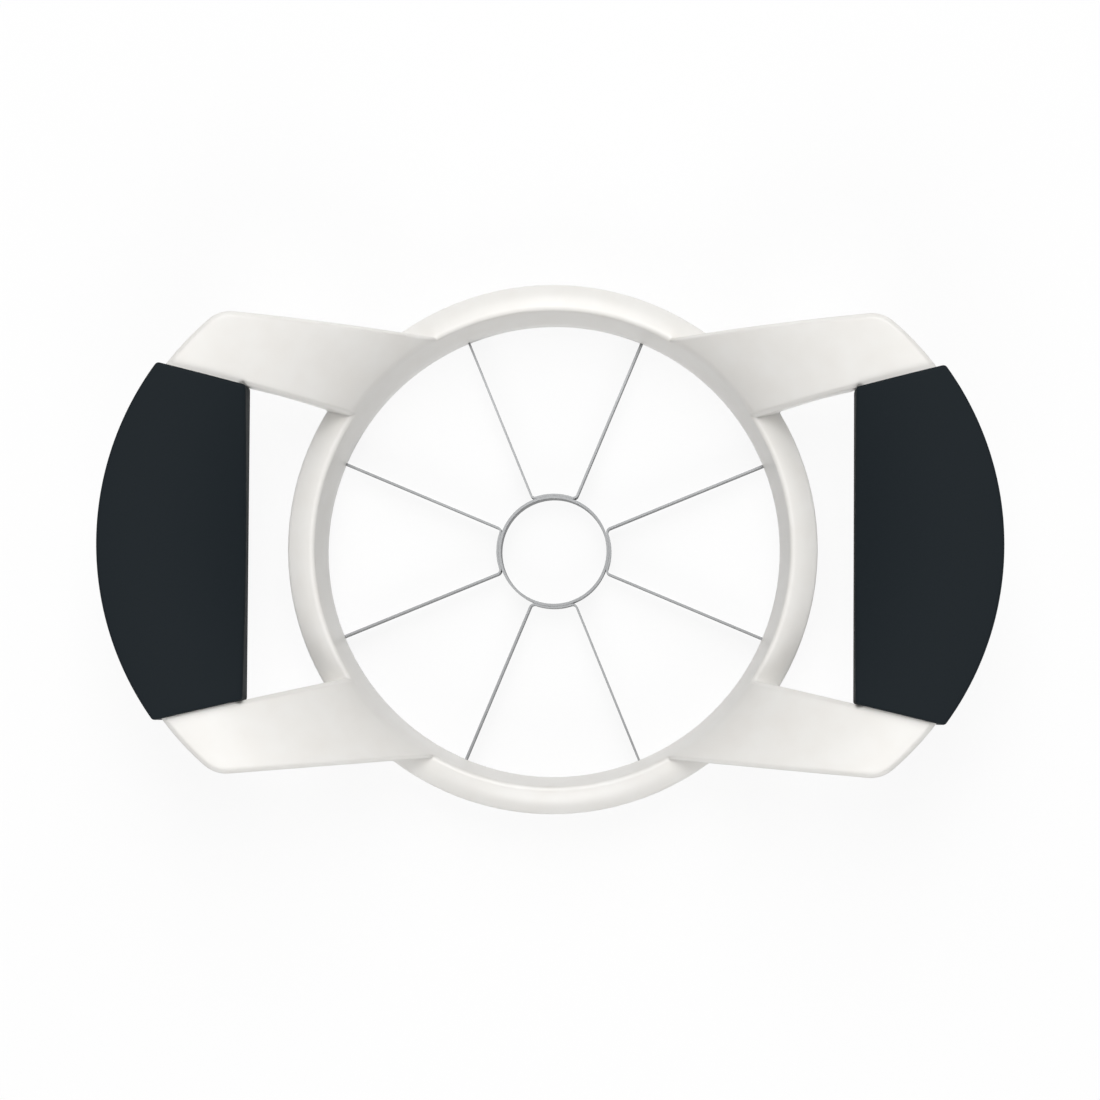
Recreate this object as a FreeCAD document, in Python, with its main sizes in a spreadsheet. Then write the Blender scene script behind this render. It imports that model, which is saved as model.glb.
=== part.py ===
import FreeCAD, Part
import math
import os
import re
import Sketcher

# A hand-held apple divider. A moulded ring carries four arms that rise to two
# gripped handles. Eight blades and a coring tube are hung inside the ring.
# The frame stands on z = 0, the coring tube is on the Z axis, the handles lie
# along X and every length is in millimetres.

doc = FreeCAD.newDocument("apple_divider")
sheet = doc.addObject("Spreadsheet::Sheet", "Sizes")

sizes = {
    # ring
    "opening_radius": 45.5,       # clear radius that the fruit passes through
    "ring_band": 7.25,            # from the opening to the outside of the ring
    "ring_height": 20.5,          # crest of the ring above the board
    "ring_wall": 2.0,             # moulded walls of the ring
    "land_height": 3.0,           # upright land below the funnel wall
    "funnel_angle": 79.2,         # lean of the funnel wall, 90 is upright
    "lip_radius": 8.0,            # curve of the lip that falls outwards
    "lip_fall": 2.9,              # from the crest down to the lip's outer edge
    "lip_rounding": 1.2,
    "crest_rounding": 0.8,
    # side view of the arms and handles
    "turn_radius": 6.0,           # the arm's face turns out of the funnel wall
    "flare_angle": 55.0,          # slope where the long flare starts
    "flare_radius": 42.0,
    "crown_angle": 18.0,          # slope where the flare meets the crown
    "crown_radius": 50.0,         # top of the handles
    "root_sink": 5.0,             # how far the arm's face runs down behind the crest
    "arm_depth": 4.5,             # depth of the arm with its skirts
    "arm_skin": 2.2,
    "skirt_wall": 2.0,
    "handle_depth": 12.0,         # from the handle core's top to its base
    # plan view of the arms, each edge a line that leans away from the X axis
    "arm_edge_offset": 39.7,      # outer edge, where it would cross the Y axis
    "arm_edge_angle": 4.75,
    "gap_edge_offset": 16.4,      # gap edge, which is also the end of the grip
    "gap_edge_angle": 13.5,
    "arm_corner_rounding": 6.5,
    "gap_corner_rounding": 1.0,
    "edge_easing": 0.8,           # arms' upper edges
    "finger_gap": 6.4,            # between the ring and the grip, seen from above
    # grips
    "grip_width": 28.3,           # inner edge to outermost point
    "grip_arc_radius": 58.6,      # outer edge of the grip, seen from above
    "grip_wall": 1.4,             # soft skin over the frame's core
    "grip_edge_easing": 0.6,      # bevel along the grip's edges
    "grip_base_rounding": 3.0,
    # cutting parts
    "blade_thickness": 0.4,
    "blade_height": 7.1,
    "blade_base": 0.8,            # cutting edges above the board
    "blade_grind": 1.2,           # height of the ground bevel
    "blade_bend": 0.9,            # bends in the strip, at mid thickness
    "hook_length": 3.0,           # tab that lies along the retaining ring's groove
    "hook_base": 3.2,             # underside of the tab above the board
    "slot_clearance": 0.1,
    "corer_radius": 11.15,        # outside of the coring tube
    "corer_wall": 0.5,
    "corer_height": 7.6,
    "corer_base": 0.4,
    "weld_gap": 0.02,             # between the tube and a saddle
    # slotted ring, pressed in from below, that carries the blades
    "retainer_setback": 0.6,      # from the opening out to its bore
    "retainer_recess": 0.4,       # its base above the board
    "retainer_wall": 1.0,         # outside the groove
    "retainer_fit": 0.1,
}

pair_names = ("blade_pair_right", "blade_pair_back", "blade_pair_left", "blade_pair_front")
blade_count = 2 * len(pair_names)
blade_step = 360 / blade_count
past = 1.0                        # how far a cutting tool runs past a face

for row, (alias, number) in enumerate(sizes.items(), 1):
    sheet.set(f"A{row}", alias)
    sheet.set(f"B{row}", str(number))
    sheet.setAlias(f"B{row}", alias)
doc.recompute()

alias_words = re.compile(r"\b(" + "|".join(sizes) + r")\b")


def formula(text):
    """An expression on the sheet, from one that names its cells plainly."""
    return alias_words.sub(r"Sizes.\1", str(text))


def value(text):
    return float(sheet.evalExpression(formula(text)))


# places that more than one piece depends on, worked out from the sizes

ring_outer = "(opening_radius + ring_band)"
blade_top = "(blade_base + blade_height)"
land_base = f"({blade_top} + slot_clearance)"
land_top = f"({land_base} + land_height)"
crest_radius = f"(opening_radius + (ring_height - {land_top}) / tan(funnel_angle))"
channel_roof = "(ring_height - lip_fall - ring_wall)"
channel_inner = "(opening_radius + ring_wall)"
channel_outer = f"({ring_outer} - ring_wall)"
grip_inner = f"({ring_outer} + finger_gap)"
handle_reach = f"({grip_inner} + grip_width)"
arc_centre = f"({handle_reach} - grip_arc_radius)"
core_arc_radius = "(grip_arc_radius - grip_wall)"
saddle_radius = "(corer_radius + weld_gap + blade_thickness / 2)"
retainer_bore = "(opening_radius + retainer_setback)"
retainer_outer = f"({channel_outer} - retainer_fit)"
groove_outer = f"({retainer_outer} - retainer_wall)"
slot_width = "(blade_thickness + 2 * slot_clearance)"
slot_base = "(hook_base - slot_clearance)"
tab_end = "(blade_bend + hook_length)"
tab_reach = f"sqrt(pow({groove_outer} - slot_clearance; 2) - pow({tab_end}; 2))"
hook_radius = f"({tab_reach} - blade_thickness / 2)"
groove_inner = f"({hook_radius} - blade_bend - slot_clearance)"

# side view of the arms: ends and centres of its three curves
turn_end_r = f"({crest_radius} + turn_radius * (sin(funnel_angle) - sin(flare_angle)))"
turn_end_z = "(ring_height + turn_radius * (cos(flare_angle) - cos(funnel_angle)))"
flare_r = f"({turn_end_r} + flare_radius * sin(flare_angle))"
flare_z = f"({turn_end_z} - flare_radius * cos(flare_angle))"
flare_end_r = f"({flare_r} - flare_radius * sin(crown_angle))"
flare_end_z = f"({flare_z} + flare_radius * cos(crown_angle))"
crown_r = f"({flare_end_r} + crown_radius * sin(crown_angle))"
crown_z = f"({flare_end_z} - crown_radius * cos(crown_angle))"
handle_base = f"({crown_z} + crown_radius - handle_depth)"
band_end = f"({handle_reach} + 2 * {past})"


# drawing and solid helpers

def origin_part(body, role):
    for part in body.Origin.OriginFeatures:
        if part.Role == role:
            return part
    raise ValueError(role)


def new_body(name):
    body = doc.addObject("PartDesign::Body", name)
    body.Label = name
    return body


def arc_through(start, end, radius, turn):
    """The short arc from start to end that turns left or right."""
    chord = end - start
    side = FreeCAD.Vector(-chord.y, chord.x, 0).normalize()
    if turn == "right":
        side = -side
        start, end = end, start
    reach = max(radius ** 2 - chord.Length ** 2 / 4, 0) ** 0.5
    centre = (start + end) / 2 + side * reach
    angles = [math.atan2(spot.y - centre.y, spot.x - centre.x) for spot in (start, end)]
    circle = Part.Circle(centre, FreeCAD.Vector(0, 0, 1), radius)
    return Part.ArcOfCircle(circle, angles[0], angles[1])


def draw(body, name, plane, points, arcs=None, closed=True, lift=None):
    """A sketch whose corners are formulas. arcs: side number to (radius, turn)."""
    sketch = body.newObject("Sketcher::SketchObject", name)
    sketch.AttachmentSupport = [(origin_part(body, plane), "")]
    sketch.MapMode = "FlatFace"
    if lift:
        sketch.setExpression("AttachmentOffset.Base.z", formula(lift))
    arcs = arcs or {}
    spots = [FreeCAD.Vector(value(across), value(up), 0) for across, up in points]
    sides = len(points) if closed else len(points) - 1
    ends = []
    for side in range(sides):
        start = spots[side]
        end = spots[(side + 1) % len(spots)]
        if side in arcs:
            radius, turn = arcs[side]
            sketch.addGeometry(arc_through(start, end, value(radius), turn), False)
        else:
            sketch.addGeometry(Part.LineSegment(start, end), False)
        made = sketch.Geometry[side]
        ends.append((1, 2) if made.StartPoint.distanceToPoint(start) < 0.001 else (2, 1))
    for side in range(sides if closed else sides - 1):
        after = (side + 1) % sides
        joint = Sketcher.Constraint("Coincident", side, ends[side][1], after, ends[after][0])
        sketch.addConstraint(joint)
    for corner, (across, up) in enumerate(points):
        side, end = (corner, 0) if corner < sides else (corner - 1, 1)
        pin(sketch, "DistanceX", side, ends[side][end], across)
        pin(sketch, "DistanceY", side, ends[side][end], up)
    for side, (radius, turn) in arcs.items():
        place = sketch.addConstraint(Sketcher.Constraint("Radius", side, value(radius)))
        sketch.setExpression(f"Constraints[{place}]", formula(radius))
    return sketch


def pin(sketch, kind, side, end, text):
    place = sketch.addConstraint(Sketcher.Constraint(kind, side, end, value(text)))
    sketch.setExpression(f"Constraints[{place}]", formula(text))


def revolve(body, sketch, cut=False, angle=360):
    kind = "Groove" if cut else "Revolution"
    turned = body.newObject("PartDesign::" + kind, sketch.Name + "_turned")
    turned.Profile = sketch
    turned.ReferenceAxis = (origin_part(body, "Z_Axis"), [""])
    turned.Angle = angle
    doc.recompute()
    return turned


def pad(body, sketch, length):
    raised = body.newObject("PartDesign::Pad", sketch.Name + "_raised")
    raised.Profile = sketch
    raised.setExpression("Length", formula(length))
    doc.recompute()
    return raised


def polar(body, feature, count):
    ring = body.newObject("PartDesign::PolarPattern", feature.Name + "_ring")
    ring.Originals = [feature]
    ring.Axis = (origin_part(body, "Z_Axis"), [""])
    ring.Angle = 360
    ring.Occurrences = count
    body.Tip = ring
    doc.recompute()
    return ring


def round_edges(body, name, edges, radius):
    base = body.Tip
    rounded = body.newObject("PartDesign::Fillet", name)
    rounded.Base = (base, edges)
    rounded.setExpression("Radius", formula(radius))
    body.Tip = rounded
    doc.recompute()
    return rounded


def combine(kind, name, base, tool):
    result = doc.addObject("Part::" + kind, name)
    result.Base = base
    result.Tool = tool
    doc.recompute()
    return result


def mirrored(source, name, normal):
    copy = doc.addObject("Part::Mirroring", name)
    copy.Source = source
    copy.Normal = normal
    doc.recompute()
    return copy


def circle_edges(shape, radius, height):
    """Names of the round edges about Z with this radius at this height."""
    found = []
    for number, edge in enumerate(shape.Edges, 1):
        spot = edge.valueAt(edge.FirstParameter)
        near_radius = abs((spot.x ** 2 + spot.y ** 2) ** 0.5 - value(radius)) < 0.01
        if near_radius and abs(spot.z - value(height)) < 0.01 and edge.Length > value(radius):
            found.append(f"Edge{number}")
    return found


def upright_edges(shape, corners):
    """Names of the upright edges nearest to these corners."""
    found = []
    for across, along in corners:
        target = FreeCAD.Vector(value(across), value(along), 0)
        best = None
        for number, edge in enumerate(shape.Edges, 1):
            box = edge.BoundBox
            if box.XLength + box.YLength > 0.01:
                continue
            gap = FreeCAD.Vector(box.XMin, box.YMin, 0).distanceToPoint(target)
            if best is None or gap < best[0]:
                best = (gap, f"Edge{number}")
        found.append(best[1])
    return found


def edge_numbers(shape, test):
    """Numbers of the edges whose two faces pass the test."""
    found = []
    for number, edge in enumerate(shape.Edges, 1):
        faces = shape.ancestorsOfType(edge, Part.Face)
        if len(faces) == 2 and test(edge, faces[0], faces[1]):
            found.append(number)
    return found


def lean(face):
    """How far a face looks up, 1 for a flat top and 0 for an upright wall."""
    first, last, low, high = face.ParameterRange
    return face.normalAt((first + last) / 2, (low + high) / 2).z


def ease(kind, base, name, size, test):
    """Fillet or chamfer every edge of base that passes the test."""
    eased = doc.addObject("Part::" + kind, name)
    eased.Base = base
    reach = value(size)
    eased.Edges = [(number, reach, reach) for number in edge_numbers(base.Shape, test)]
    doc.recompute()
    return eased


# the line of the arm's face, from the funnel wall to the handle's crown, and the
# same line set into or out of the material by a depth

def bowl_line(depth):
    start = "(ring_height - root_sink)"
    start_r = f"(opening_radius + ({start} - {land_top}) / tan(funnel_angle))"
    points = [
        (f"{start_r} + ({depth}) * sin(funnel_angle)",
         f"{start} - ({depth}) * cos(funnel_angle)"),
        (f"{crest_radius} + ({depth}) * sin(funnel_angle)",
         f"ring_height - ({depth}) * cos(funnel_angle)"),
        (f"{turn_end_r} + ({depth}) * sin(flare_angle)",
         f"{turn_end_z} - ({depth}) * cos(flare_angle)"),
        (f"{flare_end_r} + ({depth}) * sin(crown_angle)",
         f"{flare_end_z} - ({depth}) * cos(crown_angle)"),
        (band_end,
         f"{crown_z} + sqrt(pow(crown_radius - ({depth}); 2) - pow({band_end} - {crown_r}; 2))"),
    ]
    arcs = {
        1: (f"turn_radius - ({depth})", "right"),
        2: (f"flare_radius - ({depth})", "right"),
        3: (f"crown_radius - ({depth})", "right"),
    }
    return points, arcs


def edge_point(offset, angle, across):
    """The point of an arm's edge line at this distance left of the Y axis."""
    return f"-({across})", f"({offset}) + ({across}) * tan({angle})"


def arc_meet(offset, angle, radius):
    """Where an arm's edge line meets an arc of the handle."""
    rise = f"(({offset}) + {arc_centre} * tan({angle}))"
    root = f"sqrt(pow(({radius}) / cos({angle}); 2) - pow({rise}; 2))"
    run = f"(pow(cos({angle}); 2) * ({root} - {rise} * tan({angle})))"
    return edge_point(offset, angle, f"{arc_centre} + {run}")


# plan view: corners of the left back arm
outer_start = edge_point("arm_edge_offset", "arm_edge_angle", "0")
outer_corner = arc_meet("arm_edge_offset", "arm_edge_angle", core_arc_radius)
gap_start = edge_point("gap_edge_offset", "gap_edge_angle", "0")
gap_corner = edge_point("gap_edge_offset", "gap_edge_angle", f"{grip_inner} + grip_wall")


def flipped(point):
    return point[0], f"-({point[1]})"


def make_ring():
    """Left half of the ring, from the Y axis round to the Y axis again."""
    body = new_body("ring_left")
    section = [
        ("opening_radius", "0"),
        (ring_outer, "0"),
        (ring_outer, "ring_height - lip_fall"),
        (crest_radius, "ring_height"),
        ("opening_radius", land_top),
    ]
    profile = draw(body, "ring_section", "YZ_Plane", section, {2: ("lip_radius", "left")})
    turned = revolve(body, profile, angle=180)
    edge = circle_edges(turned.Shape, ring_outer, "ring_height - lip_fall")
    lip = round_edges(body, "lip_round", edge, "lip_rounding")
    edge = circle_edges(lip.Shape, crest_radius, "ring_height")
    round_edges(body, "crest_round", edge, "crest_rounding")
    return body


def make_channel():
    """Hollow under the ring, with the step that the retaining ring fills."""
    body = new_body("ring_channel")
    leaned = f"{channel_inner} + ({channel_roof} - {land_top}) / tan(funnel_angle)"
    section = [
        (f"opening_radius - {past}", f"-{past}"),
        (channel_outer, f"-{past}"),
        (channel_outer, channel_roof),
        (leaned, channel_roof),
        (channel_inner, land_top),
        (channel_inner, land_base),
        (f"opening_radius - {past}", land_base),
    ]
    revolve(body, draw(body, "channel_section", "XZ_Plane", section))
    return body


def make_arm_band():
    """The arms' side view, with a foot that stands on the ring's outer wall."""
    body = new_body("arm_band")
    top, arcs = bowl_line("0")
    inset_radius = bowl_line("arm_depth")[1][2][0]

    def underside(rise, run):
        return f"sqrt(pow({inset_radius}; 2) - pow({rise} - {run}; 2))"

    bottom = [
        (band_end, handle_base),
        (f"{flare_r} - {underside(handle_base, flare_z)}", handle_base),
        (ring_outer, f"{flare_z} + {underside(flare_r, ring_outer)}"),
        (ring_outer, "ring_height - root_sink"),
    ]
    arcs[6] = (inset_radius, "left")
    revolve(body, draw(body, "arm_section", "XZ_Plane", top + bottom, arcs))
    return body


def make_arm_plan():
    """Outline of the left arms and handle core from above."""
    body = new_body("arm_plan")
    back = [outer_start, outer_corner]
    outline = back + [flipped(point) for point in reversed(back)]
    arcs = {1: (core_arc_radius, "left")}
    plan = draw(body, "arm_outline", "XY_Plane", outline, arcs, lift=f"-{past}")
    raised = pad(body, plan, f"{crown_z} + crown_radius + grip_wall + 2 * {past}")
    corners = upright_edges(raised.Shape, [outer_corner, flipped(outer_corner)])
    round_edges(body, "corner_round", corners, "arm_corner_rounding")
    return body


def make_finger_gap():
    body = new_body("finger_gap_tool")
    back = [gap_start, gap_corner]
    outline = back + [flipped(point) for point in reversed(back)]
    plan = draw(body, "gap_outline", "XY_Plane", outline, lift=f"-2 * {past}")
    pad(body, plan, f"{crown_z} + crown_radius + grip_wall + 4 * {past}")
    corners = upright_edges(body.Tip.Shape, [gap_corner, flipped(gap_corner)])
    round_edges(body, "gap_round", corners, "gap_corner_rounding")
    return body


def top_edge(edge, one, other):
    """Between an upright wall and a face that looks up."""
    low, high = sorted((lean(one), lean(other)))
    return abs(low) < 0.001 and high > 0.05


def long_base_edge(edge, one, other):
    """Along a handle, between an upright wall and a face that looks down."""
    low, high = sorted((lean(one), lean(other)))
    return low < -0.5 and abs(high) < 0.001 and edge.Length > value("grip_width")


def sharp_edge(edge, one, other):
    """Where two faces meet at an angle."""
    spot = edge.valueAt(sum(edge.ParameterRange) / 2)
    looks = [face.normalAt(*face.Surface.parameter(spot)) for face in (one, other)]
    return math.degrees(looks[0].getAngle(looks[1])) > 10


def make_wing():
    """Two arms and the handle core between them."""
    solid = combine("Common", "wing_solid", make_arm_band(), make_arm_plan())
    wing = combine("Cut", "wing_gapped", solid, make_finger_gap())
    return ease("Chamfer", wing, "wing_left", "edge_easing", top_edge)


def make_hollows():
    """Hollow underside of the two left arms, closed above by the skin."""
    band = new_body("hollow_band")
    top, arcs = bowl_line("arm_skin")
    low = [(band_end, f"-{past}"), (top[0][0], f"-{past}")]
    revolve(band, draw(band, "hollow_section", "XZ_Plane", top + low, arcs))
    plan = new_body("hollow_plan")
    outer_line = ("arm_edge_offset - skirt_wall / cos(arm_edge_angle)", "arm_edge_angle")
    gap_line = ("gap_edge_offset + skirt_wall / cos(gap_edge_angle)", "gap_edge_angle")
    inner_arc = f"{core_arc_radius} - skirt_wall"
    outline = [
        edge_point(*outer_line, "opening_radius / 2"),
        arc_meet(*outer_line, inner_arc),
        arc_meet(*gap_line, inner_arc),
        edge_point(*gap_line, "opening_radius / 2"),
    ]
    sketch = draw(plan, "hollow_outline", "XY_Plane", outline, lift=f"-2 * {past}")
    pad(plan, sketch, f"{crown_z} + crown_radius + 4 * {past}")
    corners = upright_edges(plan.Tip.Shape, outline[1:3])
    round_edges(plan, "hollow_round", corners, "skirt_wall / 2")
    pocket = combine("Common", "arm_pocket", band, plan)
    core = doc.addObject("Part::Cylinder", "ring_core")
    core.setExpression("Radius", formula(ring_outer))
    core.setExpression("Height", formula(f"{crown_z} + crown_radius"))
    core.Placement.Base = FreeCAD.Vector(0, 0, -3 * past)
    clear = combine("Cut", "arm_hollow", pocket, core)
    front = mirrored(clear, "arm_hollow_front", FreeCAD.Vector(0, 1, 0))
    return combine("Fuse", "arm_hollows", clear, front)


def make_frame():
    """The left half with its hollows, and its mirror image."""
    left = combine("Fuse", "frame_left_solid", make_ring(), make_wing())
    hollowed = combine("Cut", "frame_left_hollow", left, make_hollows())
    left = combine("Cut", "frame_left", hollowed, make_channel())
    right = mirrored(left, "frame_right", FreeCAD.Vector(1, 0, 0))
    return combine("Fuse", "frame", left, right)


def make_retainer():
    """Slotted ring with a groove for the blade tabs, pressed into the frame from below."""
    body = new_body("retainer_blank")
    top = f"{land_base} - retainer_fit"
    section = [
        (retainer_bore, "retainer_recess"),
        (retainer_outer, "retainer_recess"),
        (retainer_outer, top),
        (groove_outer, top),
        (groove_outer, slot_base),
        (groove_inner, slot_base),
        (groove_inner, top),
        (retainer_bore, top),
    ]
    revolve(body, draw(body, "retainer_section", "XZ_Plane", section))
    slots = new_body("blade_slots")
    half = f"{slot_width} / 2"
    start = f"{retainer_bore} - {past}"
    end = f"({groove_inner} + {groove_outer}) / 2"
    outline = [(start, f"-{half}"), (end, f"-{half}"), (end, half), (start, half)]
    slot = draw(slots, "slot_outline", "XY_Plane", outline, lift=slot_base)
    polar(slots, pad(slots, slot, f"{land_base} + {past} - {slot_base}"), blade_count)
    slots.Placement.Rotation = FreeCAD.Rotation(FreeCAD.Vector(0, 0, 1), blade_step / 2)
    return combine("Cut", "retaining_ring", body, slots)


def make_corer():
    body = new_body("corer")
    inner = "corer_radius - corer_wall"
    section = [
        (inner, "corer_base"),
        ("corer_radius", "corer_base + blade_grind"),
        ("corer_radius", "corer_base + corer_height"),
        (inner, "corer_base + corer_height"),
    ]
    revolve(body, draw(body, "corer_section", "XZ_Plane", section))
    return body


def make_blade_pair(name, turn):
    """One bent strip: two blades, the saddle between them and a hooked tab at each end."""
    body = new_body(name)
    bend = "blade_bend"
    leg_start = f"sqrt(pow({saddle_radius} + {bend}; 2) - pow({bend}; 2))"
    share = f"{saddle_radius} / ({saddle_radius} + {bend})"
    near = [
        (hook_radius, tab_end),
        (hook_radius, bend),
        (f"{hook_radius} - {bend}", "0"),
        (leg_start, "0"),
        (f"({leg_start}) * {share}", f"{bend} * {share}"),
    ]

    def across(point):
        """The same point on the other blade, mirrored in the line between them."""
        first, second = point
        turn_cos = f"cos({blade_step})"
        turn_sin = f"sin({blade_step})"
        return (f"({first}) * {turn_cos} + ({second}) * {turn_sin}",
                f"({first}) * {turn_sin} - ({second}) * {turn_cos}")

    points = near + [across(point) for point in reversed(near)]
    arcs = {
        1: (bend, "right"),
        3: (bend, "right"),
        4: (saddle_radius, "left"),
        5: (bend, "right"),
        7: (bend, "right"),
    }
    path = draw(body, name + "_path", "XY_Plane", points, arcs, closed=False)
    half = "blade_thickness / 2"
    section = [
        (f"{hook_radius} - {half}", "blade_base + blade_grind"),
        (hook_radius, "blade_base"),
        (f"{hook_radius} + {half}", "blade_base + blade_grind"),
        (f"{hook_radius} + {half}", blade_top),
        (f"{hook_radius} - {half}", blade_top),
    ]
    strip = draw(body, name + "_section", "XZ_Plane", section, lift=f"-{tab_end}")
    swept = body.newObject("PartDesign::AdditivePipe", name + "_strip")
    swept.Profile = strip
    swept.Spine = (path, [f"Edge{number + 1}" for number in range(len(points) - 1)])
    doc.recompute()
    notch = [
        (f"{retainer_bore} - retainer_fit", f"blade_base - {past}"),
        (ring_outer, f"blade_base - {past}"),
        (ring_outer, "hook_base"),
        (f"{retainer_bore} - retainer_fit", "hook_base"),
    ]
    revolve(body, draw(body, name + "_notch", "XZ_Plane", notch), cut=True)
    body.Placement.Rotation = FreeCAD.Rotation(FreeCAD.Vector(0, 0, 1), turn)
    return body


def make_grip(frame):
    """Soft sleeve moulded round the handle core between the two left arms."""
    band = new_body("grip_band")
    points, arcs = bowl_line("-grip_wall")
    start_z = f"{flare_z} + sqrt(pow({arcs[2][0]}; 2) - pow({flare_r} - {ring_outer}; 2))"
    base = f"{handle_base} - grip_wall"
    section = [(ring_outer, start_z), points[3], points[4], (band_end, base), (ring_outer, base)]
    profile = draw(band, "grip_section", "XZ_Plane", section, {0: arcs[2], 1: arcs[3]})
    revolve(band, profile)
    plan = new_body("grip_plan")
    back = [
        edge_point("gap_edge_offset", "gap_edge_angle", grip_inner),
        arc_meet("gap_edge_offset", "gap_edge_angle", "grip_arc_radius"),
    ]
    outline = back + [flipped(point) for point in reversed(back)]
    sketch = draw(plan, "grip_outline", "XY_Plane", outline, {1: ("grip_arc_radius", "left")})
    pad(plan, sketch, f"{crown_z} + crown_radius + grip_wall + {past}")
    block = combine("Common", "grip_block", band, plan)
    palm = ease("Fillet", block, "grip_palm", "grip_base_rounding", long_base_edge)
    eased = ease("Chamfer", palm, "grip_eased", "grip_edge_easing", sharp_edge)
    left = combine("Cut", "grip_left", eased, frame)
    right = mirrored(left, "grip_right", FreeCAD.Vector(1, 0, 0))
    return left, right


frame = make_frame()
pieces = [frame, make_retainer(), make_corer()]
for number, name in enumerate(pair_names):
    pieces.append(make_blade_pair(name, (2 * number - 0.5) * blade_step))
pieces += make_grip(frame)
doc.recompute()

for item in doc.Objects:
    if "Invalid" in item.State or "Error" in item.State:
        raise RuntimeError(f"{item.Name} did not build: {item.State}")

os.makedirs("parts", exist_ok=True)
for piece in pieces:
    piece.Label = piece.Name
    if piece.Shape.isNull() or not piece.Shape.isValid():
        raise RuntimeError(f"{piece.Label} has no valid shape")
    piece.Shape.exportStep(f"parts/{piece.Label}.step")
    box = piece.Shape.BoundBox
    print(f"{piece.Label}: {len(piece.Shape.Solids)} solid, {piece.Shape.Volume:.0f} mm3, "
          f"x {box.XMin:.1f}..{box.XMax:.1f} y {box.YMin:.1f}..{box.YMax:.1f} "
          f"z {box.ZMin:.1f}..{box.ZMax:.1f}")
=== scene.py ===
import bpy
import math
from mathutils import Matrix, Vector


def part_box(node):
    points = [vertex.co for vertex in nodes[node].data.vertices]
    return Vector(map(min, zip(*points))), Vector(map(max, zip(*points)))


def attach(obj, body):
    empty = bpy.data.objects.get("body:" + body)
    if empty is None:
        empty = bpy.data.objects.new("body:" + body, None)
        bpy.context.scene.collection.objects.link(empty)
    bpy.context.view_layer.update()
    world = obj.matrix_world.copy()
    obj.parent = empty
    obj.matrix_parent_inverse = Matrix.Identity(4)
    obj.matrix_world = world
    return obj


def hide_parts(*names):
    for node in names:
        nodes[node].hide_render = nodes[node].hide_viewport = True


# An apple divider: a white moulded ring with four arms, two soft black grips,
# and eight steel blades round a coring tube.

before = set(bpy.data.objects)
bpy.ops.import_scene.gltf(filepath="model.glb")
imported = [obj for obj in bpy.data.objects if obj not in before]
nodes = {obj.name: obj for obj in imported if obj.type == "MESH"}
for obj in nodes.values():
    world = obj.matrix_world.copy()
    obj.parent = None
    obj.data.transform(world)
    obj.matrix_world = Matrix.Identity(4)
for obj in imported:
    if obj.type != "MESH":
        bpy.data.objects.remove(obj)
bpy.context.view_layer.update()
print("frame loaded:", len(nodes), "nodes")

# camera, nearly straight above and a little to the right and front
cameraSet = {
    "place": (0.02162, -0.0353, 0.7621),
    "aim": (-0.00036, 0.00009, 0.013),
    "lens": 122.67,
    "sensorWidth": 36,
    "clipStart": 0.01,
    "roll": 0.37,
}
cameraData = bpy.data.cameras.new("camera")
cameraData.lens = cameraSet["lens"]
cameraData.sensor_width = cameraSet["sensorWidth"]
cameraData.clip_start = cameraSet["clipStart"]
camera = bpy.data.objects.new("camera", cameraData)
bpy.context.scene.collection.objects.link(camera)
camera.location = cameraSet["place"]
aimLine = (Vector(cameraSet["aim"]) - camera.location).normalized()
tilt = math.asin(aimLine.y)  # about X, with the picture's top along +Y
side = math.asin(-aimLine.x / math.cos(tilt))
camera.rotation_euler = (tilt, side, math.radians(cameraSet["roll"]))
bpy.context.scene.camera = camera
bpy.context.scene.view_settings.view_transform = "Standard"
print("camera set")


def fromHex(text):
    # sRGB hex to the linear colour that a shader takes
    parts = [int(text[start:start + 2], 16) / 255 for start in (1, 3, 5)]
    return tuple(part / 12.92 if part <= 0.04045 else ((part + 0.055) / 1.055) ** 2.4
                 for part in parts) + (1.0,)


def addNode(tree, kind, settings=None, links=None):
    # one node, its settings by socket or by property, and what feeds it
    node = tree.nodes.new(kind)
    for name, number in (settings or {}).items():
        if isinstance(name, int) or name in node.inputs:
            node.inputs[name].default_value = number
        else:
            setattr(node, name, number)
    for name, source in (links or {}).items():
        tree.links.new(source, node.inputs[name])
    return node


def seenRays(tree):
    # 1 for what the camera sees, also in metal and through glass, and 0 for light
    path = addNode(tree, "ShaderNodeLightPath")
    seen = addNode(tree, "ShaderNodeMath", {"operation": "MAXIMUM"},
                   {0: path.outputs["Is Camera Ray"], 1: path.outputs["Is Glossy Ray"]})
    return addNode(tree, "ShaderNodeMath", {"operation": "MAXIMUM"},
                   {0: seen.outputs[0], 1: path.outputs["Is Transmission Ray"]}).outputs[0]


def newMaterial(name):
    material = bpy.data.materials.new(name)
    material.use_nodes = True
    material.node_tree.nodes.clear()
    return material, material.node_tree


# injection-moulded ABS from a polished tool: white, glossy but a little wavy
absLook = {
    "white": "#F1F0ED",
    "warm": "#EAE7E2",
    "roughness": 0.34,
    "ior": 1.53,
    "edgeRounding": 0.0009,  # how softly the mould's edges catch the light
    "waveSize": 0.00625,  # the tool polisher's soft waves, 6 mm across
    "waveStrength": 0.25,
    "waveDepth": 0.00006,
    "grainSize": 0.00055,  # fine orange peel
    "grainStrength": 0.2,
    "grainDepth": 0.00002,
}


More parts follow.
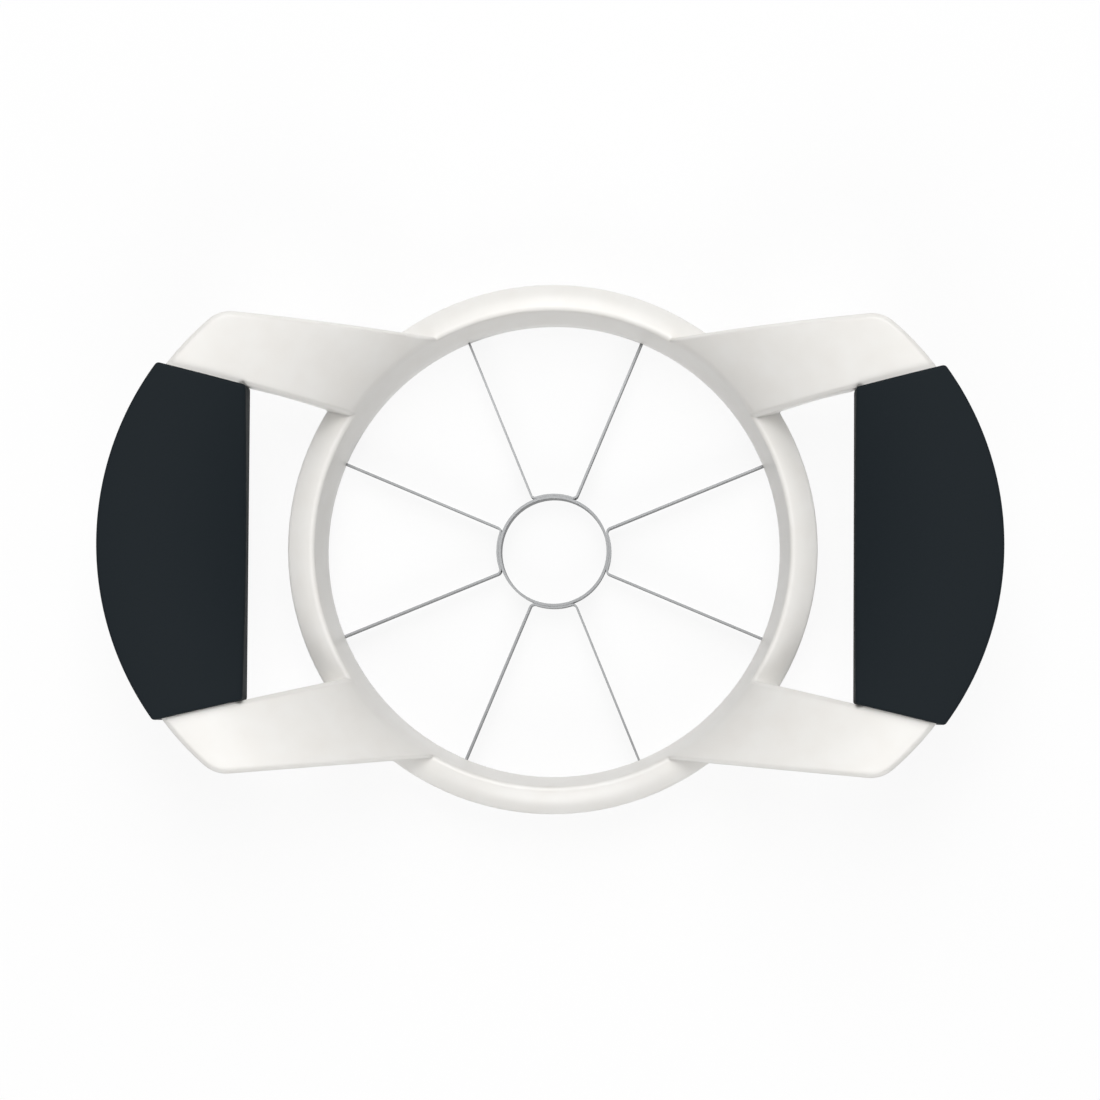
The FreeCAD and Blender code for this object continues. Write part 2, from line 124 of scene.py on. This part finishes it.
def makeAbs():
    material, tree = newMaterial("mouldedAbs")
    place = addNode(tree, "ShaderNodeTexCoord").outputs["Object"]
    wave = addNode(tree, "ShaderNodeTexNoise", {"Scale": 1 / absLook["waveSize"], "Detail": 2.0},
                   {"Vector": place})
    grain = addNode(tree, "ShaderNodeTexNoise", {"Scale": 1 / absLook["grainSize"], "Detail": 1.0},
                    {"Vector": place})
    tint = addNode(tree, "ShaderNodeMix", {"data_type": "RGBA"}, {"Factor": wave.outputs["Fac"]})
    # a Mix node's colours are its inputs 6 and 7 and its output 2
    tint.inputs[6].default_value = fromHex(absLook["white"])
    tint.inputs[7].default_value = fromHex(absLook["warm"])
    edges = addNode(tree, "ShaderNodeBevel", {"samples": 6, "Radius": absLook["edgeRounding"]})
    waveBump = addNode(tree, "ShaderNodeBump",
                       {"Strength": absLook["waveStrength"], "Distance": absLook["waveDepth"]},
                       {"Height": wave.outputs["Fac"], "Normal": edges.outputs["Normal"]})
    bump = addNode(tree, "ShaderNodeBump",
                   {"Strength": absLook["grainStrength"], "Distance": absLook["grainDepth"]},
                   {"Height": grain.outputs["Fac"], "Normal": waveBump.outputs["Normal"]})
    shader = addNode(tree, "ShaderNodeBsdfPrincipled",
                     {"Roughness": absLook["roughness"], "IOR": absLook["ior"]},
                     {"Base Color": tint.outputs[2], "Normal": bump.outputs["Normal"]})
    addNode(tree, "ShaderNodeOutputMaterial", {}, {"Surface": shader.outputs["BSDF"]})
    return material


# soft-touch thermoplastic rubber, moulded over the core: black, matte, finely spark-eroded
tpeLook = {
    "black": "#131B20",
    "roughness": 0.72,
    "ior": 1.5,
    "gloss": 0.18,
    "stippleSize": 0.00053,  # spark-eroded pits, half a millimetre apart
    "stippleStrength": 0.35,
    "stippleDepth": 0.00006,
}


def makeTpe():
    material, tree = newMaterial("softTouchTpe")
    place = addNode(tree, "ShaderNodeTexCoord").outputs["Object"]
    stipple = addNode(tree, "ShaderNodeTexNoise",
                      {"Scale": 1 / tpeLook["stippleSize"], "Detail": 2.0},
                      {"Vector": place})
    bump = addNode(tree, "ShaderNodeBump",
                   {"Strength": tpeLook["stippleStrength"], "Distance": tpeLook["stippleDepth"]},
                   {"Height": stipple.outputs["Fac"]})
    shader = addNode(tree, "ShaderNodeBsdfPrincipled",
                     {"Base Color": fromHex(tpeLook["black"]), "Roughness": tpeLook["roughness"],
                      "IOR": tpeLook["ior"], "Specular IOR Level": tpeLook["gloss"]},
                     {"Normal": bump.outputs["Normal"]})
    addNode(tree, "ShaderNodeOutputMaterial", {}, {"Surface": shader.outputs["BSDF"]})
    return material


# cold-rolled stainless strip: grey, with fine rolling lines along its length. The grey
# is darker than bare stainless steel's, to suit these lamps
steelLook = {
    "grey": "#939495",
    "edgeGrey": "#C8C8C8",
    "roughness": 0.48,
    "roughnessLess": 0.07,  # how far the lines take the roughness down and up
    "roughnessMore": 0.1,
    "lineSpacing": 0.0004,  # rolling lines, drawn coarser than they are so that they show
    "lineSquash": 0.02,  # draws the pattern out along the strip
    "lineStrength": 0.2,
    "lineDepth": 0.00002,
}


def makeSteel():
    material, tree = newMaterial("rolledStainless")
    place = addNode(tree, "ShaderNodeTexCoord").outputs["Object"]
    squash = addNode(tree, "ShaderNodeMapping",
                     {"Scale": (steelLook["lineSquash"], steelLook["lineSquash"], 1.0)},
                     {"Vector": place})
    lines = addNode(tree, "ShaderNodeTexNoise",
                    {"Scale": 1 / steelLook["lineSpacing"], "Detail": 2.0},
                    {"Vector": squash.outputs["Vector"]})
    rough = addNode(tree, "ShaderNodeMapRange",
                    {"To Min": steelLook["roughness"] - steelLook["roughnessLess"],
                     "To Max": steelLook["roughness"] + steelLook["roughnessMore"]},
                    {"Value": lines.outputs["Fac"]})
    bump = addNode(tree, "ShaderNodeBump",
                   {"Strength": steelLook["lineStrength"], "Distance": steelLook["lineDepth"]},
                   {"Height": lines.outputs["Fac"]})
    shader = addNode(tree, "ShaderNodeBsdfPrincipled",
                     {"Base Color": fromHex(steelLook["grey"]), "Metallic": 1.0,
                      "Specular Tint": fromHex(steelLook["edgeGrey"])},
                     {"Roughness": rough.outputs["Result"], "Normal": bump.outputs["Normal"]})
    addNode(tree, "ShaderNodeOutputMaterial", {}, {"Surface": shader.outputs["BSDF"]})
    return material


whiteAbs = makeAbs()
tpe = makeTpe()
steel = makeSteel()
for name, node in nodes.items():
    look = steel
    if name in ("frame", "retaining_ring"):
        look = whiteAbs
    elif name.startswith("grip"):
        look = tpe
    node.data.materials.clear()
    node.data.materials.append(look)
print("materials made")

# the two grips: soft sleeves moulded over the handle cores, hollow for the core and
# open at both ends, where they butt against the arms
gripSet = {
    "wall": 0.0014,
    "endOffset": 0.0164,  # the end line's y where x is 0
    "endAngle": 13.5,
    "outerRadius": 0.058598,  # outline of the outer edge
    "outerCentre": 0.02885,
    "flareRadius": 0.0434,  # section: the hollow sweep up from the ring, then the crown
    "flareCentre": (0.082695, -0.001273),
    "flareStart": 0.0535,
    "crownSlope": 18.0,
    "crownRadius": 0.0514,
    "crownCentre": (0.085167, -0.008882),
    "crownEnd": 0.0895,
    "halfTurn": 34.0,
    "endRoom": 0.001,  # how far the core runs on past the sleeve's ends
    "coreEasing": 0.0008,
    "flareSteps": 48,
    "crownSteps": 40,
    "turnSteps": 96,
    "rows": 56,
    "columns": 24,
    "palmRounding": 0.003,
    "palmSteps": 6,
    "edgeRounding": 0.0005,
    "edgeSegments": 3,
    "sharpEdge": 50.0,
    "smoothAngle": 35.0,
    "planLift": 0.01,  # the grid starts this far above the crown and is dropped on to it
    "endMatch": 0.999,  # how nearly a face looks along the grip's end to count as part of it
    "bendRoom": 1e-5,
    "doubleGap": 1e-6,
}
seedSize = 0.001  # of the plane that each mesh starts from and loses at once


def addVertex(place):
    # a loose vertex in the mesh being edited, selected
    bpy.ops.mesh.primitive_plane_add(size=seedSize, location=(0, 0, 0))
    bpy.ops.mesh.merge(type="CENTER")
    bpy.ops.transform.translate(value=place)


def startMesh(name):
    # a new empty mesh, in edit mode
    bpy.ops.object.select_all(action="DESELECT")
    bpy.ops.mesh.primitive_plane_add(size=seedSize, location=(0, 0, 0))
    piece = bpy.context.object
    piece.name = name
    bpy.ops.object.mode_set(mode="EDIT")
    bpy.ops.mesh.select_mode(type="VERT")
    bpy.ops.mesh.select_all(action="SELECT")
    bpy.ops.mesh.delete(type="VERT")
    return piece


def applyModifier(piece, kind, settings):
    modifier = piece.modifiers.new(kind.lower(), kind)
    for name, setting in settings.items():
        setattr(modifier, name, setting)
    bpy.context.view_layer.objects.active = piece
    bpy.ops.object.modifier_apply(modifier=modifier.name)


def dropPiece(piece):
    mesh = piece.data
    bpy.data.objects.remove(piece)
    bpy.data.meshes.remove(mesh)


def makeFormer(depth):
    # the swept surface that the top of a grip lies on, set down by a depth
    flareX, flareZ = gripSet["flareCentre"]
    crownX, crownZ = gripSet["crownCentre"]
    flareRadius = gripSet["flareRadius"] - depth
    crownRadius = gripSet["crownRadius"] - depth
    first = math.asin((flareX - gripSet["flareStart"]) / flareRadius)
    slope = math.radians(gripSet["crownSlope"])
    last = math.asin((gripSet["crownEnd"] - crownX) / crownRadius)
    half = math.radians(gripSet["halfTurn"])
    former = startMesh("former")
    addVertex((gripSet["flareStart"], 0, flareZ + flareRadius * math.cos(first)))
    bpy.ops.mesh.spin(steps=gripSet["flareSteps"], angle=first - slope,
                      center=(flareX, 0, flareZ), axis=(0, -1, 0))
    bpy.ops.mesh.spin(steps=gripSet["crownSteps"], angle=slope + last,
                      center=(crownX, 0, crownZ), axis=(0, -1, 0))
    bpy.ops.mesh.select_all(action="SELECT")
    bpy.ops.transform.rotate(value=half, orient_axis="Z", center_override=(0, 0, 0))
    bpy.ops.mesh.spin(steps=gripSet["turnSteps"], angle=2 * half, center=(0, 0, 0),
                      axis=(0, 0, -1))
    bpy.ops.object.mode_set(mode="OBJECT")
    return former


def makePlan(name, depth, endRoom, height):
    # a flat grid in the grip's plan outline, set in by a depth, left in edit mode
    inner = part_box("grip_right")[0].x + depth
    radius = gripSet["outerRadius"] - depth
    centre = gripSet["outerCentre"]
    slant = math.tan(math.radians(gripSet["endAngle"]))
    offset = gripSet["endOffset"] + endRoom
    # where the end line meets the outer arc
    half = centre - offset * slant
    square = 1 + slant ** 2
    root = math.sqrt(half ** 2 - square * (centre ** 2 + offset ** 2 - radius ** 2))
    cornerX = (half + root) / square
    cornerY = offset + cornerX * slant
    innerY = offset + inner * slant
    plan = startMesh(name)
    addVertex((inner, -innerY, height))
    bpy.ops.mesh.extrude_region_move(TRANSFORM_OT_translate={"value": (0, 2 * innerY, 0)})
    bpy.ops.mesh.select_all(action="SELECT")
    bpy.ops.mesh.subdivide(number_cuts=gripSet["rows"] - 1)
    bpy.ops.mesh.select_all(action="DESELECT")
    addVertex((cornerX, -cornerY, height))
    bpy.ops.mesh.spin(steps=gripSet["rows"], angle=2 * math.atan2(cornerY, cornerX - centre),
                      center=(centre, 0, height), axis=(0, 0, -1))
    bpy.ops.mesh.select_all(action="SELECT")
    bpy.ops.mesh.bridge_edge_loops(number_cuts=gripSet["columns"] - 1, interpolation="LINEAR")
    bpy.ops.mesh.select_all(action="SELECT")
    return plan


def makeGripForm(name, depth, endRoom):
    # the grip's closed form, set in by a depth, its ends moved out by some room
    low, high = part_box("grip_right")
    base = low.z + depth
    piece = makePlan(name, depth, endRoom, high.z + gripSet["planLift"])
    bpy.ops.object.mode_set(mode="OBJECT")
    former = makeFormer(depth)
    applyModifier(piece, "SHRINKWRAP", {"target": former, "wrap_method": "PROJECT",
                                        "use_project_z": True, "use_negative_direction": True})
    dropPiece(former)
    # the same outline lower down, and drawn in round the palm side
    rounding = gripSet["palmRounding"] - depth
    outlines = []
    for step in range(gripSet["palmSteps"] + 1):
        angle = math.pi / 2 * step / gripSet["palmSteps"]
        outlines.append(makePlan("outline", depth + rounding * (1 - math.cos(angle)), endRoom,
                                 base + rounding * (1 - math.sin(angle))))
        bpy.ops.mesh.dissolve_faces()
        if step < gripSet["palmSteps"]:
            bpy.ops.mesh.delete(type="ONLY_FACE")
        bpy.ops.object.mode_set(mode="OBJECT")
    bpy.ops.object.select_all(action="DESELECT")
    for part in outlines + [piece]:
        part.select_set(True)
    bpy.context.view_layer.objects.active = piece
    bpy.ops.object.join()
    bpy.ops.object.mode_set(mode="EDIT")
    bpy.ops.mesh.select_mode(type="EDGE")
    bpy.ops.mesh.select_all(action="DESELECT")
    bpy.ops.mesh.select_non_manifold(extend=False, use_multi_face=False, use_verts=False)
    bpy.ops.mesh.bridge_edge_loops()
    # each end is one flat face
    slope = math.radians(gripSet["endAngle"])
    for side in (-1, 1):
        outward = Vector((-math.sin(slope), side * math.cos(slope), 0))
        bpy.ops.mesh.select_mode(type="FACE")
        bpy.ops.mesh.select_all(action="DESELECT")
        bpy.ops.object.mode_set(mode="OBJECT")
        for face in piece.data.polygons:
            face.select = abs(face.normal.dot(outward)) > gripSet["endMatch"]
        bpy.ops.object.mode_set(mode="EDIT")
        bpy.ops.mesh.dissolve_faces()
    bpy.ops.mesh.select_all(action="SELECT")
    bpy.ops.mesh.normals_make_consistent(inside=False)
    return piece


def makeGrip():
    piece = makeGripForm("gripRight", 0, 0)
    bpy.ops.mesh.select_mode(type="EDGE")
    bpy.ops.mesh.select_all(action="DESELECT")
    bpy.ops.mesh.edges_select_sharp(sharpness=math.radians(gripSet["sharpEdge"]))
    bpy.ops.mesh.bevel(offset=gripSet["edgeRounding"], segments=gripSet["edgeSegments"],
                       affect="EDGES")
    bpy.ops.object.mode_set(mode="OBJECT")
    # the core that the sleeve is moulded on has its upper edges eased
    core = makeGripForm("core", gripSet["wall"], gripSet["endRoom"])
    bpy.ops.mesh.select_mode(type="EDGE")
    bpy.ops.mesh.select_all(action="DESELECT")
    bpy.ops.mesh.edges_select_sharp(sharpness=math.radians(gripSet["sharpEdge"]))
    bpy.ops.object.mode_set(mode="OBJECT")
    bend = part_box("grip_right")[0].z + gripSet["palmRounding"] + gripSet["bendRoom"]
    for edge in core.data.edges:
        ends = [core.data.vertices[end].co.z for end in edge.vertices]
        edge.select = edge.select and min(ends) > bend
    bpy.ops.object.mode_set(mode="EDIT")
    bpy.ops.mesh.bevel(offset=gripSet["coreEasing"], segments=1, affect="EDGES")
    bpy.ops.object.mode_set(mode="OBJECT")
    applyModifier(piece, "BOOLEAN", {"object": core, "operation": "DIFFERENCE", "solver": "FAST"})
    dropPiece(core)
    return piece


def finishGrip(piece, node):
    bpy.ops.object.select_all(action="DESELECT")
    piece.select_set(True)
    bpy.context.view_layer.objects.active = piece
    bpy.ops.object.mode_set(mode="EDIT")
    bpy.ops.mesh.select_all(action="SELECT")
    bpy.ops.mesh.remove_doubles(threshold=gripSet["doubleGap"])
    bpy.ops.mesh.normals_make_consistent(inside=False)
    bpy.ops.object.mode_set(mode="OBJECT")
    bpy.ops.object.shade_smooth_by_angle(angle=math.radians(gripSet["smoothAngle"]))
    applyModifier(piece, "WEIGHTED_NORMAL", {"keep_sharp": True})
    piece.data.materials.clear()
    piece.data.materials.append(tpe)
    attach(piece, "root")
    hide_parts(node)


gripRight = makeGrip()
gripLeft = gripRight.copy()
gripLeft.data = gripRight.data.copy()
gripLeft.name = "gripLeft"
bpy.context.scene.collection.objects.link(gripLeft)
bpy.ops.object.select_all(action="DESELECT")
gripLeft.select_set(True)
bpy.context.view_layer.objects.active = gripLeft
bpy.ops.object.mode_set(mode="EDIT")
bpy.ops.mesh.select_all(action="SELECT")
bpy.ops.transform.resize(value=(-1, 1, 1), center_override=(0, 0, 0))
bpy.ops.object.mode_set(mode="OBJECT")
finishGrip(gripRight, "grip_right")
finishGrip(gripLeft, "grip_left")
print("grips made:", len(gripRight.data.polygons), "faces each")

# floor and light
floorSet = {
    "radius": 6.0,
    "sides": 96,
    "sink": 0.00005,  # just clear of the object's base
    "rimHeight": 1.2,  # the paper's far end turns up, so that it also fills low views
    "colour": "#F6F6F6",
    "glow": 0.9,
}
lampSet = {
    "backHigh": {"place": (0.0, 0.37, 1.02), "size": 0.5, "power": 5.7},
    "backLow": {"place": (0.0, 0.78, 0.72), "size": 0.5, "power": 3.4},
    "frontLow": {"place": (0.0, -0.78, 0.72), "size": 0.5, "power": 4.5},
    "world": 0.145,  # as light
    "seenWorld": 0.3,  # as the camera, metal and gloss see it
}


def makeFloor():
    bpy.ops.object.select_all(action="DESELECT")
    rim = floorSet["rimHeight"]
    bpy.ops.mesh.primitive_cylinder_add(vertices=floorSet["sides"], radius=floorSet["radius"],
                                        depth=rim, location=(0, 0, rim / 2 - floorSet["sink"]))
    floor = bpy.context.object
    floor.name = "floor"
    # open at the top
    bpy.ops.object.mode_set(mode="EDIT")
    bpy.ops.mesh.select_mode(type="FACE")
    bpy.ops.mesh.select_all(action="DESELECT")
    bpy.ops.object.mode_set(mode="OBJECT")
    for face in floor.data.polygons:
        face.select = face.normal.z > 0.9
    bpy.ops.object.mode_set(mode="EDIT")
    bpy.ops.mesh.delete(type="FACE")
    bpy.ops.mesh.select_all(action="SELECT")
    bpy.ops.mesh.normals_make_consistent(inside=True)
    bpy.ops.object.mode_set(mode="OBJECT")
    material, tree = newMaterial("paperSweep")
    matte = addNode(tree, "ShaderNodeBsdfDiffuse", {"Color": fromHex(floorSet["colour"])})
    glow = addNode(tree, "ShaderNodeEmission", {"Color": (1, 1, 1, 1), "Strength": 1.0})
    share = addNode(tree, "ShaderNodeMath", {"operation": "MULTIPLY", 1: floorSet["glow"]},
                    {0: seenRays(tree)})
    mix = addNode(tree, "ShaderNodeMixShader", {}, {0: share.outputs[0], 1: matte.outputs[0],
                                                    2: glow.outputs[0]})
    addNode(tree, "ShaderNodeOutputMaterial", {}, {"Surface": mix.outputs[0]})
    floor.data.materials.append(material)


makeFloor()
world = bpy.data.worlds.new("studio")
bpy.context.scene.world = world
world.use_nodes = True
sky = world.node_tree.nodes["Background"]
sky.inputs["Color"].default_value = (1, 1, 1, 1)
skyLight = addNode(world.node_tree, "ShaderNodeMapRange",
                   {"To Min": lampSet["world"], "To Max": lampSet["seenWorld"]},
                   {"Value": seenRays(world.node_tree)})
world.node_tree.links.new(skyLight.outputs["Result"], sky.inputs["Strength"])
for name in ("backHigh", "backLow", "frontLow"):
    box = lampSet[name]
    lampData = bpy.data.lights.new(name + "Softbox", "AREA")
    lampData.size = box["size"]
    lampData.energy = box["power"]
    lamp = bpy.data.objects.new(name + "Softbox", lampData)
    bpy.context.scene.collection.objects.link(lamp)
    lamp.location = box["place"]
    lamp.rotation_euler = (-lamp.location).to_track_quat("-Z", "Y").to_euler()
print("stage and light set")
